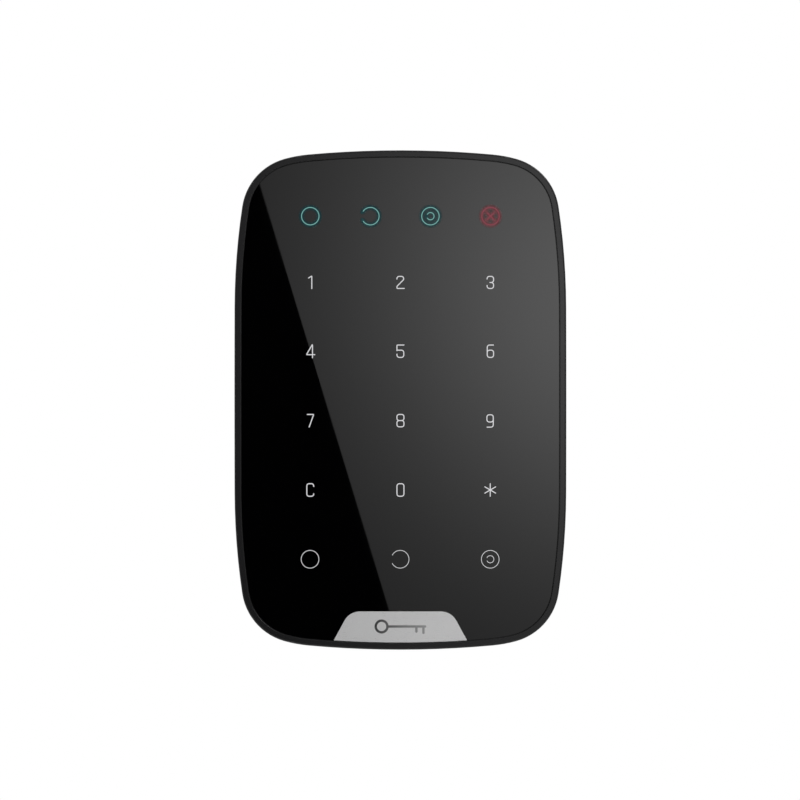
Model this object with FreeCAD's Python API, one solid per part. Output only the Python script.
"""Wireless touch keypad for an alarm system, with the bracket that holds it on a wall.

A thin rounded slab: a glossy black touch panel bonded into a satin bezel, a shallow rear housing
screwed to it from behind, and a flat wall bracket whose hooks the housing drops onto. Inside are a
touch board with its lamps, two cradles with two AAA cells each, a buzzer, a tamper button that
feels the bracket, and an on/off button.

Every piece is drawn lying on its back, in millimetres: x to the right as the user sees it, y up
the wall, z out of the wall towards the user, and z = 0 on the wall. stand_up() then turns it so
that +Z is up and the front faces -Y, with the origin on the wall behind the middle of the keypad.
"""

import FreeCAD, Part  # noqa: E401  this order matters
import math
import os

V = FreeCAD.Vector
OUT_OF_WALL = V(0, 0, 1)
SIDES = (-1, 1)
CORNERS = [(sx, sy) for sx in SIDES for sy in SIDES]

# ---- driving sizes ---------------------------------------------------------------------------
HALF_WIDTH = 49.85
HALF_HEIGHT = 75.0
# The outline's quarter is five tangent arcs: top, shoulder, corner, flank and side.
# The side arc's radius and where it starts follow from the half width.
TOP_R, SHOULDER_R, CORNER_R, FLANK_R = 305.0, 40.6, 17.6, 208.8
TOP_END, SHOULDER_END, CORNER_END = (math.radians(a) for a in (5.2, 15.5, 81.5))

# Levels, as distances from the wall.
BRACKET_FRONT = 1.8
HOUSING_BACK = 0.4
PARTING = 8.0
BOARD_BACK, BOARD_FRONT = 11.2, 12.2
PANEL_BACK, PANEL_FRONT = 12.5, 13.8
BEZEL_FRONT = 14.0

WALL = 1.3  # moulded wall of the bezel and the housing
BACK_ROUND = 7.4  # round of the housing's back edge
LIP = 1.9  # width of the bezel's front lip
FRONT_ROUND, LIP_ROUND = 0.5, 0.1  # rounds of the lip's outer and inner edge
PARTING_CHAMFER = 0.25
PANEL_INSET, PANEL_CHAMFER = 2.1, 0.1
LEDGE = 4.6  # how far in the panel's ledge reaches
LEDGE_BACK, LEDGE_FRONT = BOARD_BACK - 0.2, PANEL_BACK - 0.2
BOARD_INSET = 5.0

UNLOCK_TRAVEL = 8.0  # how far the keypad lifts to come off its hooks

KEY_PITCH_X, KEY_PITCH_Y = 27.06, 20.8
TOP_KEY_Y = 35.2
STATUS_Y = 55.2
STATUS_PITCH_X = 18.04

CELL_R, CELL_LENGTH, CELL_NUB_R, CELL_NUB = 5.25, 44.5, 1.9, 1.0
CELL_X = 40.6
CELL_Z = HOUSING_BACK + WALL + 0.1 + CELL_R

BESIDE_CELLS = 51.4  # the corner webs and the locating rim start past the cradles

BOSS_X, BOSS_Y, BOSS_R, BOSS_PILOT_R = 35.5, 59.5, 3.0, 0.85  # the four housing screws
SCREW_SEAT = 4.2  # level of the counterbore's floor that a housing screw's head sits on
TUBE_TOP, TUBE_R, COUNTERBORE_R = 5.4, 4.0, 2.9
EAR_SCREW_Y, EAR_SCREW_R = 53.2, 0.7  # the cradle screws, in line with the cells
WEB_BACK, WEB_X = 9.4, 31.0

# The battery column: end wall, plate, spring, cell, plate, middle wall, plate, spring, cell, ...
PLATE, SPRING, CRADLE_WALL = 0.4, 3.0, 1.2
COLUMN_LENGTH = 2 * CELL_LENGTH + 2 * SPRING + 4 * PLATE + 3 * CRADLE_WALL
COLUMN_START = -COLUMN_LENGTH / 2
LOWER_CELL = COLUMN_START + CRADLE_WALL + PLATE + SPRING
MIDDLE_WALL = LOWER_CELL + CELL_LENGTH + PLATE
UPPER_CELL = MIDDLE_WALL + CRADLE_WALL + PLATE + SPRING
CRADLE_BACK, CRADLE_FRONT, CRADLE_WIDTH, EAR_BACK = 4.6, 11.0, 12.4, 8.2
BRIDGE_BACK, CONTACT_WIDTH = 10.2, 5.4

RECESS_HALF_WIDTH, RECESS_TOP, RECESS_BOTTOM, RECESS_R = 30.0, 46.5, -54.5, 8.5
RECESS_FLOOR = 2.1
RECESS_INSIDE = RECESS_FLOOR + WALL

BRACKET_HALF_WIDTH, BRACKET_HALF_HEIGHT, BRACKET_R = 29.5, 46.0, 8.0
HOOK_X, HOOK_TOPS, HOOK_WIDTH, HOOK_POST, HOOK_REACH = 22.0, (34.0, -22.0), 6.0, 2.0, 6.0
HOOK_UNDER, HOOK_OVER = RECESS_INSIDE + 0.3, RECESS_INSIDE + 1.5
WALL_HOLE_X, WALL_HOLE_Y, WALL_HOLE_R, WALL_HEAD_R = 16.0, 38.0, 2.2, 3.4
SLOT_X, SLOT_Y, SLOT_LENGTH = 17.0, 12.0, 10.0
TAB_Y, TAB_WIDTH, TAB_HEIGHT, TAB_HOLE_Y, TAB_HOLE_R = -2.0, 16.0, 20.0, -7.0, 1.8
TONGUE_ROOT, TONGUE_TIP, TONGUE_HALF_WIDTH, BUMP_Y = -43.0, -29.0, 4.5, -31.5

TAMPER_Y, GUIDE_TOP, GUIDE_R = 3.0, 5.6, 3.6
TAMPER_STEM_R, TAMPER_STEM_BACK, COLLAR_R = 2.0, 7.0, 5.4
POWER_X, POWER_Y, POWER_CAP_R, POWER_STEM_BACK = KEY_PITCH_X / 2, -50.2, 2.95, 5.0
SWITCH_SIZE, SWITCH_HEIGHT, STEM_R = 6.0, 3.5, 1.6
SWITCH_BACK = BOARD_BACK - SWITCH_HEIGHT
BUZZER_Y, BUZZER_R, BUZZER_HEIGHT = -61.8, 5.6, 4.8
LABEL_Y, LABEL_WIDTH, LABEL_HEIGHT, LABEL_POCKET = 58.0, 38.0, 11.0, 0.25

# Springs as the coil's radius, the wire's radius and the number of turns.
CONTACT_COIL = 3.6, 0.3, 2.5
TAMPER_COIL = 4.85, 0.22, 2.5

BADGE_TOP, BADGE_TOP_HALF, BADGE_FOOT, BADGE_FOOT_HALF = -63.5, 15.3, -76.0, 22.1
BADGE_R, BADGE_DEPTH, BADGE_GAP = 5.3, 0.6, 0.06
RADIO_X, RADIO_Y = 13.5, 45.0


# ---- shapes that several pieces share ----------------------------------------------------------
def quarter_arcs():
    """The arcs of the outline's upper right quarter as (centre x, centre y, radius, start, end).

    Angles are those of the outward normal, from straight up towards +x. Each arc's centre lies on
    the normal that it shares with the arc before it, so the arcs meet without a corner.
    """
    radii, ends = (TOP_R, SHOULDER_R, CORNER_R, FLANK_R), (TOP_END, SHOULDER_END, CORNER_END)
    cx, cy, start, found = 0.0, HALF_HEIGHT - TOP_R, 0.0, []
    for radius, following, end in zip(radii, radii[1:], ends):
        found.append((cx, cy, radius, start, end))
        cx += (radius - following) * math.sin(end)
        cy += (radius - following) * math.cos(end)
        start = end
    # The side arc's centre is level with the middle, and it passes through the half width.
    flank_end = math.pi / 2 - 2 * math.atan((HALF_WIDTH - FLANK_R - cx) / cy)
    side_r = FLANK_R + cy / math.cos(flank_end)
    found.append((cx, cy, FLANK_R, start, flank_end))
    found.append((HALF_WIDTH - side_r, 0.0, side_r, flank_end, math.pi / 2))
    return found


def arc(cx, cy, radius, start, end, sx, sy):
    """One arc at z = 0, mirrored into the quarter that sx and sy name."""
    points = []
    for angle in (start, (start + end) / 2, end):
        x, y = cx + radius * math.sin(angle), cy + radius * math.cos(angle)
        points.append(V(sx * x, sy * y, 0))
    return Part.Arc(*points).toShape()


def outline(inset):
    """The keypad's outline as a wire, moved in by inset: the arcs keep their centres."""
    edges = []
    for sx, sy in CORNERS:
        for cx, cy, radius, start, end in quarter_arcs():
            edges.append(arc(cx, cy, radius - inset, start, end, sx, sy))
    return Part.Wire(Part.sortEdges(edges)[0])


def prism(wire, low, high):
    return Part.Face(wire).extrude(V(0, 0, high - low)).translated(V(0, 0, low))


def edges_at(shape, level):
    """The edges that lie flat at one level."""
    flat = [(e, e.BoundBox) for e in shape.Edges]
    return [e for e, b in flat if abs(b.ZMin - level) < 1e-4 and abs(b.ZMax - level) < 1e-4]


def slab(inset, low, high, back_round=0.0):
    """The outline's prism, with its back edge rounded."""
    made = prism(outline(inset), low, high)
    if back_round:
        made = made.makeFillet(back_round, edges_at(made, low))
    return made


def block(x, y, low, high, width, height, corner=0.0):
    """A box centred on x, y, with its four upright edges rounded."""
    made = Part.makeBox(width, height, high - low, V(x - width / 2, y - height / 2, low))
    if corner:
        upright = [e for e in made.Edges if e.BoundBox.ZLength > (high - low) / 2]
        made = made.makeFillet(corner, upright)
    return made


def disc(x, y, low, high, radius):
    return Part.makeCylinder(radius, high - low, V(x, y, low), OUT_OF_WALL)


def ring(x, y, low, high, outer, inner):
    return disc(x, y, low, high, outer).cut(disc(x, y, low - 1, high + 1, inner))


def slot(x, y, low, high, length, radius):
    """A slot along x with round ends."""
    middle = block(x, y, low, high, length - 2 * radius, 2 * radius)
    ends = [disc(x + s * (length / 2 - radius), y, low, high, radius) for s in SIDES]
    return middle.fuse(ends).removeSplitter()


def countersink(x, y, top, hole_r, head_r):
    """The 45 degree seat of a flat-headed screw that goes in from the front, and its hole."""
    depth = head_r - hole_r
    cone = Part.makeCone(hole_r, head_r, depth, V(x, y, top - depth), OUT_OF_WALL)
    return cone.fuse(disc(x, y, -1, top - depth, hole_r))


def cross_slot(x, y, low, high, size, width):
    """The cross-shaped drive of a small screw."""
    arms = block(x, y, low, high, size, width)
    return arms.fuse(block(x, y, low, high, width, size))


def mirrored(shape):
    """The same piece on the other side, turned half round the keypad's own middle."""
    return shape.rotated(V(0, 0, 0), OUT_OF_WALL, 180)


def key_places():
    """The twelve digit keys in three columns and four rows, then the three mode keys below."""
    rows = [TOP_KEY_Y - KEY_PITCH_Y * n for n in range(5)]
    return [(column * KEY_PITCH_X, y) for y in rows for column in (-1, 0, 1)]


def status_places():
    return [((n - 1.5) * STATUS_PITCH_X, STATUS_Y) for n in range(4)]


def recess_shape(grow, low, high):
    """The recess that the bracket lies in, grown sideways by a wall's thickness for its pan."""
    height, middle = RECESS_TOP - RECESS_BOTTOM, (RECESS_TOP + RECESS_BOTTOM) / 2
    width = 2 * RECESS_HALF_WIDTH
    return block(0, middle, low, high, width + 2 * grow, height + 2 * grow, RECESS_R + grow)


def cavity(clearance):
    """The room inside the housing's walls, less a clearance, from its floor to the panel's ledge."""
    inset, floor = WALL + clearance, HOUSING_BACK + WALL + clearance
    return slab(inset, floor, BOARD_BACK, back_round=BACK_ROUND - inset)


# ---- wall bracket --------------------------------------------------------------------------------
def mounting_bracket():
    """Flat moulded plate with four upturned hooks, a snap tongue and a breakaway tamper tab."""
    plate = block(0, 0, 0, BRACKET_FRONT, 2 * BRACKET_HALF_WIDTH, 2 * BRACKET_HALF_HEIGHT, BRACKET_R)
    plate = plate.makeChamfer(0.35, edges_at(plate, BRACKET_FRONT))
    for sx, sy in CORNERS:
        x, y = sx * WALL_HOLE_X, sy * WALL_HOLE_Y
        plate = plate.cut(countersink(x, y, BRACKET_FRONT, WALL_HOLE_R, WALL_HEAD_R))
    for sx in SIDES:
        plate = plate.cut(slot(sx * SLOT_X, SLOT_Y, -1, BRACKET_FRONT + 1, SLOT_LENGTH, WALL_HOLE_R))
    plate = plate.cut(tab_perforation()).cut(tongue_gap())
    plate = plate.cut(countersink(0, TAB_HOLE_Y, BRACKET_FRONT, TAB_HOLE_R, TAB_HOLE_R + 1.0))
    bump_r = 1.2
    bump = Part.makeCylinder(bump_r, 2 * bump_r, V(-bump_r, BUMP_Y, BRACKET_FRONT - 0.65), V(1, 0, 0))
    pieces = [bump.common(block(0, BUMP_Y, 0.5, BRACKET_FRONT + 1, 3, 3))]
    pieces += [hook(sx * HOOK_X, top) for sx in SIDES for top in HOOK_TOPS]
    return plate.fuse(pieces).removeSplitter()


def hook(x, top):
    """A post through the housing's slot with a lip that points up the wall, its tip eased."""
    post = block(x, top - HOOK_POST / 2, 0.5, HOOK_OVER, HOOK_WIDTH, HOOK_POST)
    reach = HOOK_POST + HOOK_REACH
    lip = block(x, top - HOOK_POST + reach / 2, HOOK_UNDER, HOOK_OVER, HOOK_WIDTH, reach)
    tip = [e for e in lip.Edges if abs(e.BoundBox.YMin - top - HOOK_REACH) < 1e-4]
    tip = [e for e in tip if e.BoundBox.XLength > HOOK_WIDTH / 2]
    return lip.makeChamfer(0.45, tip).fuse(post)


def tab_perforation():
    """The slots round the breakaway tab; what is left between them are its eight thin bridges."""
    gap, bridge, through = 0.9, 1.1, BRACKET_FRONT + 1
    frame = block(0, TAB_Y, -1, through, TAB_WIDTH, TAB_HEIGHT, 1.5)
    frame = frame.cut(block(0, TAB_Y, -2, through + 1, TAB_WIDTH - 2 * gap, TAB_HEIGHT - 2 * gap, 0.8))
    for s in SIDES:
        frame = frame.cut(block(0, TAB_Y + s * TAB_HEIGHT / 4, -2, through + 1, TAB_WIDTH + 1, bridge))
        frame = frame.cut(block(s * TAB_WIDTH / 4, TAB_Y, -2, through + 1, bridge, TAB_HEIGHT + 1))
    return frame


def tongue_gap():
    """The U-shaped gap that frees the snap tongue."""
    gap, through, length = 1.0, BRACKET_FRONT + 1, TONGUE_TIP - TONGUE_ROOT
    gaps = [block(0, TONGUE_TIP + gap / 2, -1, through, 2 * (TONGUE_HALF_WIDTH + gap), gap)]
    for s in SIDES:
        x = s * (TONGUE_HALF_WIDTH + gap / 2)
        gaps.append(block(x, (TONGUE_ROOT + TONGUE_TIP) / 2, -1, through, gap, length))
    return gaps[0].fuse(gaps[1:])


# ---- casing --------------------------------------------------------------------------------------
def rear_housing():
    """Shallow moulded tray with a round back edge, the bracket's recess and four screw tubes."""
    outside = slab(0, HOUSING_BACK, PARTING, back_round=BACK_ROUND)
    tray = outside.makeChamfer(PARTING_CHAMFER, edges_at(outside, PARTING))
    tray = tray.cut(slab(WALL, HOUSING_BACK + WALL, PARTING + 1, back_round=BACK_ROUND - WALL))
    tray = tray.fuse(recess_shape(WALL, HOUSING_BACK + 0.2, RECESS_INSIDE))
    tray = tray.cut(recess_shape(0, -1, RECESS_FLOOR))
    tubes = [disc(sx * BOSS_X, sy * BOSS_Y, HOUSING_BACK, TUBE_TOP, TUBE_R) for sx, sy in CORNERS]
    tubes = [tube.common(outside) for tube in tubes]
    guide = disc(0, TAMPER_Y, RECESS_FLOOR + 0.5, GUIDE_TOP, GUIDE_R)
    tray = tray.fuse(tubes + [guide, locating_rim()])
    for sx, sy in CORNERS:
        tray = tray.cut(disc(sx * BOSS_X, sy * BOSS_Y, -1, SCREW_SEAT, COUNTERBORE_R))
        tray = tray.cut(disc(sx * BOSS_X, sy * BOSS_Y, 0, TUBE_TOP + 1, BOSS_PILOT_R + 0.45))
    tray = tray.cut(disc(0, TAMPER_Y, 0, GUIDE_TOP + 1, TAMPER_STEM_R + 0.3))
    tray = tray.cut(disc(POWER_X, POWER_Y, 0, RECESS_INSIDE + 1, POWER_CAP_R + 0.25))
    tray = tray.cut(hook_slots()).cut(bump_groove()).cut(sound_slots())
    pocket, gap = HOUSING_BACK + LABEL_POCKET, 0.3
    width, height = LABEL_WIDTH + 2 * gap, LABEL_HEIGHT + 2 * gap
    return tray.cut(block(0, LABEL_Y, 0, pocket, width, height, 1.5))


def locating_rim():
    """Rim across the top and the foot, inside the wall, that stands up into the bezel."""
    clear, thick, root, rise = 0.12, 0.8, 1.5, 1.0
    low = slab(WALL - 0.2, PARTING - root, PARTING).fuse(slab(WALL + clear, PARTING - root, PARTING + rise))
    rim = low.cut(slab(WALL + clear + thick, 0, PARTING + 2))
    return rim.cut(block(0, 0, 0, PARTING + 2, 2 * HALF_WIDTH, 2 * BESIDE_CELLS))


def hook_slots():
    """One slot for each hook, long enough for the whole hook to pass when the keypad is lifted."""
    length, width, above = HOOK_REACH + HOOK_POST + 2.6, HOOK_WIDTH + 0.8, 0.3
    places = [(sx * HOOK_X, top + above - length / 2) for sx in SIDES for top in HOOK_TOPS]
    cuts = [block(x, y, 0, RECESS_INSIDE + 1, width, length, 0.5) for x, y in places]
    return cuts[0].fuse(cuts[1:])


def bump_groove():
    """Shallow track in the recess floor for the snap tongue's bump, as long as the lift."""
    top, bottom = BUMP_Y + 1.6, BUMP_Y - UNLOCK_TRAVEL - 1.6
    return block(0, (top + bottom) / 2, 0, RECESS_FLOOR + 0.6, 4.0, top - bottom, 1.0)


def sound_slots():
    """Five parallel slots inside one circle, over the buzzer."""
    pitch, width, reach = 1.7, 0.9, 4.0
    cuts = []
    for n in (-2, -1, 0, 1, 2):
        length = 2 * math.sqrt(reach**2 - (n * pitch) ** 2)
        cuts.append(block(n * pitch, BUZZER_Y, -1, RECESS_FLOOR, width, length, 0.4))
    return cuts[0].fuse(cuts[1:])


def front_bezel():
    """Frame round the touch panel: an outer wall, a rounded front lip and a ledge for the panel."""
    frame = prism(outline(0), PARTING, BEZEL_FRONT)
    frame = frame.makeChamfer(PARTING_CHAMFER, edges_at(frame, PARTING))
    frame = frame.makeFillet(FRONT_ROUND, edges_at(frame, BEZEL_FRONT))
    frame = frame.cut(slab(WALL, PARTING - 1, LEDGE_BACK)).cut(slab(LEDGE, LEDGE_BACK - 1, BEZEL_FRONT))
    frame = frame.cut(slab(LIP, LEDGE_FRONT, BEZEL_FRONT + 1))
    inner = [e for e in edges_at(frame, BEZEL_FRONT) if on_outline(e, LIP)]
    frame = frame.makeFillet(LIP_ROUND, inner)
    frame = frame.fuse(corner_webs())
    for sx, sy in CORNERS:
        x, y = sx * BOSS_X, sy * BOSS_Y
        frame = frame.fuse(disc(x, y, TUBE_TOP + 0.2, WEB_BACK + 0.1, BOSS_R))
        frame = frame.cut(disc(x, y, 0, LEDGE_BACK - 0.4, BOSS_PILOT_R))
        frame = frame.cut(disc(sx * CELL_X, sy * EAR_SCREW_Y, 0, LEDGE_BACK - 0.3, EAR_SCREW_R))
    return frame


def on_outline(edge, inset):
    """Whether an edge of the front face lies on the outline at that inset, and not on another."""
    middle = edge.valueAt((edge.FirstParameter + edge.LastParameter) / 2)
    return Part.Vertex(V(middle.x, middle.y, 0)).distToShape(outline(inset))[0] < 0.05


def corner_webs():
    """Plates across the bezel's corners that carry the screw bosses and take the cradle screws."""
    low, high, size = WEB_BACK, LEDGE_BACK + 0.1, 30.0
    inside = slab(WALL / 2, low, high)
    webs = []
    for sx, sy in CORNERS:
        x, y = sx * (WEB_X + size / 2), sy * (BESIDE_CELLS + size / 2)
        corner = block(x, y, low, high, size, size, 3.0)
        webs.append(corner.common(inside))
    return webs


def housing_screws():
    """Four self-tapping screws that go in from behind, with pan heads and a cross drive."""
    back, made = SCREW_SEAT - 1.5, []
    for sx, sy in CORNERS:
        x, y = sx * BOSS_X, sy * BOSS_Y
        head = disc(x, y, back, SCREW_SEAT, 2.4)
        head = head.makeFillet(0.6, edges_at(head, back))
        screw = head.fuse(disc(x, y, SCREW_SEAT - 0.1, LEDGE_BACK - 0.6, BOSS_PILOT_R))
        made.append(screw.cut(cross_slot(x, y, 0, SCREW_SEAT - 0.6, 2.6, 0.55)).removeSplitter())
    return Part.makeCompound(made)


def rear_label():
    """Thin printed label in its own shallow pocket."""
    high = HOUSING_BACK + LABEL_POCKET
    return block(0, LABEL_Y, high - 0.15, high, LABEL_WIDTH, LABEL_HEIGHT, 1.2)


def sound_mesh():
    """Round of acoustic mesh stuck over the sound slots from inside."""
    floor = HOUSING_BACK + WALL
    return disc(0, BUZZER_Y, floor, floor + 0.15, BUZZER_R - 0.2)


# ---- front panel -----------------------------------------------------------------------------------
def badge_shape(grow, low, high):
    """Wide trapezium with round upper corners; its foot is cut by the panel's own edge."""
    top, foot = BADGE_TOP + grow, BADGE_FOOT
    corners = [V(-BADGE_FOOT_HALF - grow, foot, low), V(-BADGE_TOP_HALF - grow, top, low)]
    corners += [V(BADGE_TOP_HALF + grow, top, low), V(BADGE_FOOT_HALF + grow, foot, low)]
    made = Part.Face(Part.makePolygon(corners + corners[:1])).extrude(V(0, 0, high - low))
    upright = [e for e in made.Edges if e.BoundBox.ZLength > (high - low) / 2]
    upper = [e for e in upright if e.BoundBox.YMin > top - 0.5]
    return made.makeFillet(BADGE_R, upper)


def panel_blank():
    """The front plate before its badge pocket: the outline with an eased front edge."""
    plate = slab(PANEL_INSET, PANEL_BACK, PANEL_FRONT)
    return plate.makeChamfer(PANEL_CHAMFER, edges_at(plate, PANEL_FRONT))


def touch_panel():
    """Glossy black front plate with a pocket for the badge."""
    return panel_blank().cut(badge_shape(BADGE_GAP, PANEL_FRONT - BADGE_DEPTH, PANEL_FRONT + 1))


def badge_plate():
    """Thin silver plate let into the foot of the panel, flush with its front."""
    return panel_blank().common(badge_shape(0, PANEL_FRONT - BADGE_DEPTH, PANEL_FRONT + 1))


def panel_adhesive():
    """Double-sided tape between the bezel's ledge and the back of the panel."""
    outer, inner = PANEL_INSET + 0.25, LEDGE - 0.2
    return slab(outer, LEDGE_FRONT, PANEL_BACK).cut(slab(inner, LEDGE_FRONT - 1, PANEL_BACK + 1))


def diffuser_film():
    """Milky film that spreads the lamps' light behind the printed signs."""
    return board_shape(BOARD_FRONT + 0.1, PANEL_BACK)


# ---- touch board -------------------------------------------------------------------------------------
def board_shape(low, high):
    """The board's outline: the keypad's, moved in, with a long notch each side for the cells."""
    plate = slab(BOARD_INSET, low, high)
    notch_half_height, notch_x = 49.2, 35.4
    for s in SIDES:
        notch = block(s * (notch_x + 10), 0, low - 1, high + 1, 20, 2 * notch_half_height, 1.0)
        plate = plate.cut(notch)
    return plate


def touch_board():
    """Printed circuit board with a light hole under each key and each status lamp."""
    holes = [disc(x, y, BOARD_BACK - 1, BOARD_FRONT + 1, 1.5) for x, y in key_places() + status_places()]
    return board_shape(BOARD_BACK, BOARD_FRONT).cut(holes[0].fuse(holes[1:]))


def touch_electrodes():
    """Copper pad round each key's light hole that senses the finger."""
    size, low, high = 14.6, BOARD_FRONT, BOARD_FRONT + 0.1
    pads = [block(x, y, low, high, size, size, 2.5) for x, y in key_places()]
    holes = [disc(x, y, low - 1, high + 1, 2.2) for x, y in key_places()]
    return Part.makeCompound([pad.cut(hole) for pad, hole in zip(pads, holes)])


def lamps(places):
    """Reverse-mounted lamps: a flat body behind the board and a lens that looks into the hole."""
    made = []
    for x, y in places:
        body = block(x, y, BOARD_BACK - 0.9, BOARD_BACK, 4.2, 1.8)
        made.append(body.fuse(disc(x, y, BOARD_BACK - 0.1, BOARD_BACK + 0.5, 0.8)).removeSplitter())
    return Part.makeCompound(made)


def chip(x, y, width, height, thickness, mark_x=-1):
    """Flat chip package behind the board, with the small dimple that marks its first pin."""
    low = BOARD_BACK - thickness
    body = block(x, y, low, BOARD_BACK, width, height)
    mark = disc(x + mark_x * (width / 2 - 0.9), y + height / 2 - 0.9, low - 1, low + 0.1, 0.35)
    return body.cut(mark)


def radio_shield():
    """Drawn steel can over the radio, open towards the board."""
    width, height, thick, back = 15.0, 12.0, 0.2, BOARD_BACK - 2.2
    can = block(RADIO_X, RADIO_Y, back, BOARD_BACK, width, height, 0.6)
    width, height = width - 2 * thick, height - 2 * thick
    return can.cut(block(RADIO_X, RADIO_Y, back + thick, BOARD_BACK + 1, width, height, 0.4))


def radio_chip():
    return block(RADIO_X, RADIO_Y, BOARD_BACK - 0.9, BOARD_BACK, 5.0, 5.0)


def antennas():
    """Two stamped strips at the top of the board, each on a foot at one end and turned down."""
    back, front, made = BOARD_BACK - 3.4, BOARD_BACK - 3.0, []
    for s in SIDES:
        strip = block(s * 14.0, 65.0, back, front, 22.0, 1.8)
        foot = block(s * 3.2, 65.0, back, BOARD_BACK, 0.4, 1.8)
        turn = block(s * 24.2, 62.9, back, front, 1.6, 6.0)
        made.append(strip.fuse([foot, turn]).removeSplitter())
    return Part.makeCompound(made)


def crystal():
    return block(4.4, 21.0, BOARD_BACK - 0.8, BOARD_BACK, 2.5, 3.2, 0.4)


def storage_capacitor():
    """Round can capacitor that carries the radio's bursts."""
    x, y, back, base = -13.5, -17.0, BOARD_BACK - 5.4, BOARD_BACK - 0.6
    can = disc(x, y, back, base, 3.1)
    can = can.makeFillet(0.4, edges_at(can, back))
    return can.fuse(block(x, y, base, BOARD_BACK, 6.6, 6.6)).removeSplitter()


def power_inductor():
    """Square shielded choke with a round top."""
    x, y, base = 13.5, -17.0, BOARD_BACK - 1.0
    top = disc(x, y, BOARD_BACK - 2.4, base, 2.2)
    return top.fuse(block(x, y, base, BOARD_BACK, 5.0, 5.0, 0.5)).removeSplitter()


def small_parts():
    """Resistors and capacitors, in short rows beside the chips that they serve."""
    pitch, width, height, back = 2.2, 0.9, 1.7, BOARD_BACK - 0.5
    rows = [(-18.0, 14.5, 5), (8.0, 30.0, 6), (-18.0, -32.5, 5), (6.0, -38.5, 6), (-20.0, 42.0, 4)]
    places = [(x + pitch * n, y) for x, y, count in rows for n in range(count)]
    return Part.makeCompound([block(x, y, back, BOARD_BACK, width, height) for x, y in places])


# ---- battery cradles, contacts and cells ------------------------------------------------------------
def along_column(start, length, radius):
    """A cylinder on the right-hand column's axis."""
    return Part.makeCylinder(radius, length, V(CELL_X, start, CELL_Z), V(0, 1, 0))


def battery_cradle():
    """The right-hand cradle: two rails that hug the cells, three cross walls and two screw ears."""
    body = block(CELL_X, 0, CRADLE_BACK, CRADLE_FRONT, CRADLE_WIDTH, COLUMN_LENGTH)
    room = CELL_R + 0.15
    lower_end = LOWER_CELL - SPRING - PLATE
    upper_start = MIDDLE_WALL + CRADLE_WALL
    body = body.cut(along_column(lower_end, MIDDLE_WALL - lower_end, room))
    body = body.cut(along_column(upper_start, -COLUMN_START - CRADLE_WALL - upper_start, room))
    # The contacts' folded tops pass over the cross walls, which stop short of the rails' height.
    body = body.cut(block(CELL_X, 0, BRIDGE_BACK, 12, CONTACT_WIDTH + 0.4, COLUMN_LENGTH + 1))
    root, tip = COLUMN_LENGTH / 2 - 1, EAR_SCREW_Y + 2.6
    for s in SIDES:
        ear = block(CELL_X, s * (root + tip) / 2, EAR_BACK, WEB_BACK, 8.6, tip - root, 1.0)
        body = body.fuse(ear).cut(disc(CELL_X, s * EAR_SCREW_Y, 5, 12, 0.95))
    return body.common(cavity(0.2)).removeSplitter()


def cradle_screws():
    """Four short screws that hold the cradles' ears to the bezel."""
    made = []
    for sx, sy in CORNERS:
        x, y = sx * CELL_X, sy * EAR_SCREW_Y
        back = EAR_BACK - 1.1
        head = disc(x, y, back, EAR_BACK, 1.7)
        head = head.makeFillet(0.35, edges_at(head, back))
        screw = head.fuse(disc(x, y, EAR_BACK - 0.1, LEDGE_BACK - 0.4, EAR_SCREW_R))
        made.append(screw.cut(cross_slot(x, y, 7, back + 0.5, 1.9, 0.45)).removeSplitter())
    return Part.makeCompound(made)


def battery_cell(start):
    """One AAA cell standing on start with its positive nub up the column."""
    can_length = CELL_LENGTH - CELL_NUB
    can = along_column(start, can_length, CELL_R)
    rims = [e for e in can.Edges if e.BoundBox.YLength < 1e-4]
    can = can.makeFillet(0.5, rims)
    return can.fuse(along_column(start + can_length - 0.1, CELL_NUB + 0.1, CELL_NUB_R))


def contact_plate(start, with_tail):
    """Sprung plate across the end of a cell. An end plate's tail folds over onto the board."""
    y, tail = start + PLATE / 2, 1.8
    plate = block(CELL_X, y, CRADLE_BACK, BOARD_BACK if with_tail else BRIDGE_BACK, CONTACT_WIDTH, PLATE)
    if not with_tail:
        return plate
    y += math.copysign(tail / 2, start)
    folded = block(CELL_X, y, BOARD_BACK - PLATE, BOARD_BACK, CONTACT_WIDTH, tail + PLATE)
    return plate.fuse(folded).removeSplitter()


def end_contacts():
    """The right-hand column's two end plates, under its spring and over its upper nub."""
    lower = contact_plate(COLUMN_START + CRADLE_WALL, True)
    upper = contact_plate(-COLUMN_START - CRADLE_WALL - PLATE, True)
    return [lower, upper]


def link_contact():
    """Saddle over the middle wall that joins the lower cell's nub to the upper cell's spring."""
    lower = contact_plate(MIDDLE_WALL - PLATE, False)
    upper = contact_plate(MIDDLE_WALL + CRADLE_WALL, False)
    y, length = MIDDLE_WALL + CRADLE_WALL / 2, CRADLE_WALL + 2 * PLATE
    bridge = block(CELL_X, y, BRIDGE_BACK, BRIDGE_BACK + PLATE, CONTACT_WIDTH, length)
    return lower.fuse([upper, bridge]).removeSplitter()


def coil(coil_r, wire_r, turns, length):
    """A coil spring that stands on the origin along z, its wire swept along quarter-turn arcs."""
    rise, quarters = length - 2 * wire_r, int(4 * turns)

    def on_helix(quarter):
        angle, height = quarter * math.pi / 2, wire_r + rise * quarter / quarters
        return V(coil_r * math.cos(angle), coil_r * math.sin(angle), height)

    arcs = [Part.Arc(on_helix(n), on_helix(n + 0.5), on_helix(n + 1)).toShape() for n in range(quarters)]
    start = arcs[0].tangentAt(arcs[0].FirstParameter)
    sweep = Part.BRepOffsetAPI.MakePipeShell(Part.Wire(arcs))
    sweep.add(Part.Wire([Part.makeCircle(wire_r, on_helix(0), start)]), False, False)
    sweep.build()
    sweep.makeSolid()
    return sweep.shape()


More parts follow.
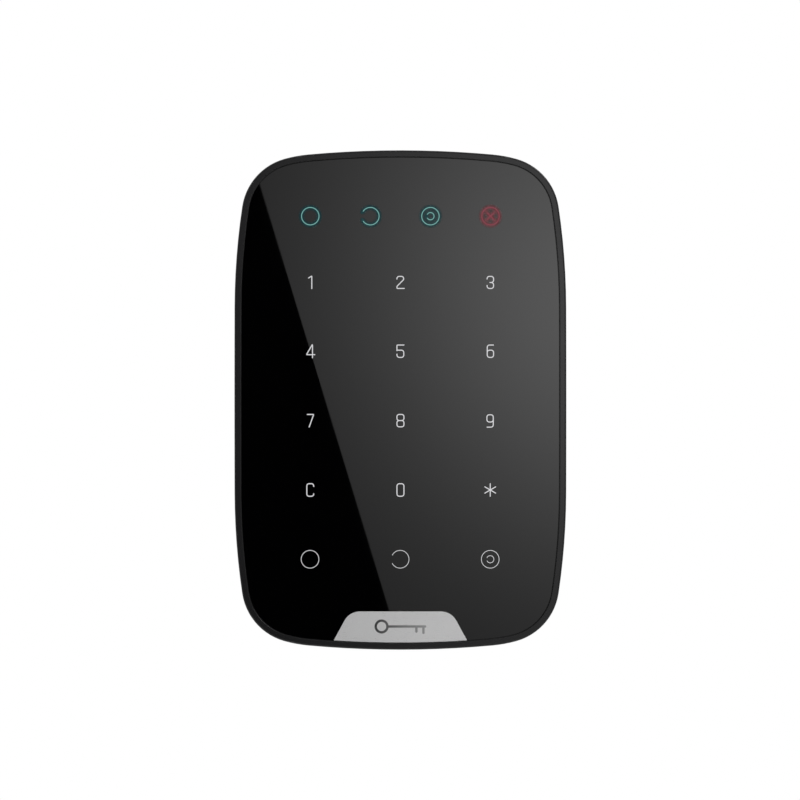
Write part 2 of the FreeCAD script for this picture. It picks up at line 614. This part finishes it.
def contact_spring(start):
    """Coil spring between an end plate and a cell's flat end."""
    spring = coil(*CONTACT_COIL, SPRING).rotated(V(0, 0, 0), V(1, 0, 0), -90)
    return spring.translated(V(CELL_X, start, CELL_Z))


# ---- buttons and sounder -----------------------------------------------------------------------------
def push_switch(x, y):
    """Square tactile switch behind the board, with the well that its stem moves in."""
    body = block(x, y, SWITCH_BACK, BOARD_BACK, SWITCH_SIZE, SWITCH_SIZE, 0.4)
    return body.cut(disc(x, y, 0, SWITCH_BACK + 2.2, STEM_R + 0.15))


def switch_stem(x, y, back):
    return disc(x, y, back, SWITCH_BACK + 1.2, STEM_R)


def tamper_plunger():
    """Stepped button that feels the bracket's tab; its wide collar carries the spring."""
    tip = BRACKET_FRONT + 0.2
    stem = disc(0, TAMPER_Y, tip, TAMPER_STEM_BACK, TAMPER_STEM_R)
    stem = stem.makeFillet(0.5, edges_at(stem, tip))
    collar = disc(0, TAMPER_Y, TAMPER_STEM_BACK - 1.0, TAMPER_STEM_BACK, COLLAR_R)
    return stem.fuse(collar).removeSplitter()


def tamper_spring():
    """Light coil spring round the switch, from the collar to the board."""
    gap = 0.03
    length = BOARD_BACK - TAMPER_STEM_BACK - 2 * gap
    return coil(*TAMPER_COIL, length).translated(V(0, TAMPER_Y, TAMPER_STEM_BACK + gap))


def power_button():
    """Round cap under the recess floor, dished for a fingertip, with a collar that keeps it in."""
    back, dish_r = RECESS_FLOOR + 0.25, 9.0
    cap = disc(POWER_X, POWER_Y, back, POWER_STEM_BACK, POWER_CAP_R)
    cap = cap.makeFillet(0.4, edges_at(cap, back))
    collar = disc(POWER_X, POWER_Y, RECESS_INSIDE + 0.2, POWER_STEM_BACK, 4.0)
    dish = Part.makeSphere(dish_r, V(POWER_X, POWER_Y, back + 0.25 - dish_r))
    return cap.fuse(collar).cut(dish).removeSplitter()


def buzzer():
    """Round sounder on the board, with its sound hole towards the back."""
    low = BOARD_BACK - BUZZER_HEIGHT
    can = disc(0, BUZZER_Y, low, BOARD_BACK, BUZZER_R)
    can = can.makeFillet(0.5, edges_at(can, low))
    return can.cut(disc(0, BUZZER_Y, low - 1, low + 0.8, 1.2))


def buzzer_gasket():
    """Soft foam ring that leads the sound from the buzzer to the mesh."""
    low = HOUSING_BACK + WALL + 0.15
    return ring(0, BUZZER_Y, low, BOARD_BACK - BUZZER_HEIGHT, BUZZER_R - 0.4, BUZZER_R - 1.3)


# ---- writing the pieces ------------------------------------------------------------------------------
def stand_up(shape):
    """Turns a piece that lies on its back to hang on the wall: y becomes +Z and z becomes -Y."""
    return shape.rotated(V(0, 0, 0), V(1, 0, 0), 90)


def write(name, shape):
    solids = shape.Solids
    if not solids or not all(s.isValid() and s.isClosed() and s.Volume > 0 for s in solids):
        raise ValueError(f"{name} is not made of closed solids")
    whole = solids[0] if len(solids) == 1 else Part.makeCompound(solids)
    stand_up(whole).exportStep(f"parts/{name}.step")
    print(f"{name}: {len(solids)} solid(s), {sum(s.Volume for s in solids):.1f} mm3")


def pieces():
    """Every sub-part's name and shape."""
    yield "mounting_bracket", mounting_bracket()
    yield "rear_housing", rear_housing()
    yield "front_bezel", front_bezel()
    yield "housing_screws", housing_screws()
    yield "rear_label", rear_label()
    yield "sound_mesh", sound_mesh()
    yield "touch_panel", touch_panel()
    yield "badge_plate", badge_plate()
    yield "panel_adhesive", panel_adhesive()
    yield "diffuser_film", diffuser_film()
    yield "touch_board", touch_board()
    yield "touch_electrodes", touch_electrodes()
    yield "key_lamps", lamps(key_places())
    yield "status_lamps", lamps(status_places())
    yield "main_processor", chip(-9.0, 24.5, 7.0, 7.0, 0.9)
    yield "touch_controller", chip(-12.5, 4.0, 5.0, 5.0, 0.85)
    yield "power_regulator", chip(13.5, -8.5, 3.0, 3.0, 1.0, mark_x=1)
    yield "radio_chip", radio_chip()
    yield "radio_shield", radio_shield()
    yield "antennas", antennas()
    yield "crystal", crystal()
    yield "storage_capacitor", storage_capacitor()
    yield "power_inductor", power_inductor()
    yield "small_parts", small_parts()
    cradle = battery_cradle()
    yield "battery_cradle_right", cradle
    yield "battery_cradle_left", mirrored(cradle)
    yield "cradle_screws", cradle_screws()
    for place, start in (("lower", LOWER_CELL), ("upper", UPPER_CELL)):
        yield f"battery_right_{place}", battery_cell(start)
    for place, start in (("upper", LOWER_CELL), ("lower", UPPER_CELL)):
        yield f"battery_left_{place}", mirrored(battery_cell(start))
    ends, link = end_contacts(), link_contact()
    springs = [contact_spring(start - SPRING) for start in (LOWER_CELL, UPPER_CELL)]
    yield "end_contacts", Part.makeCompound(ends + [mirrored(e) for e in ends])
    yield "link_contacts", Part.makeCompound([link, mirrored(link)])
    yield "contact_springs", Part.makeCompound(springs + [mirrored(s) for s in springs])
    yield "tamper_plunger", tamper_plunger()
    yield "tamper_spring", tamper_spring()
    yield "tamper_switch", push_switch(0, TAMPER_Y)
    yield "tamper_switch_stem", switch_stem(0, TAMPER_Y, TAMPER_STEM_BACK)
    yield "power_button", power_button()
    yield "power_switch", push_switch(POWER_X, POWER_Y)
    yield "power_switch_stem", switch_stem(POWER_X, POWER_Y, POWER_STEM_BACK)
    yield "buzzer", buzzer()
    yield "buzzer_gasket", buzzer_gasket()


os.makedirs("parts", exist_ok=True)
for piece_name, piece in pieces():
    write(piece_name, piece)
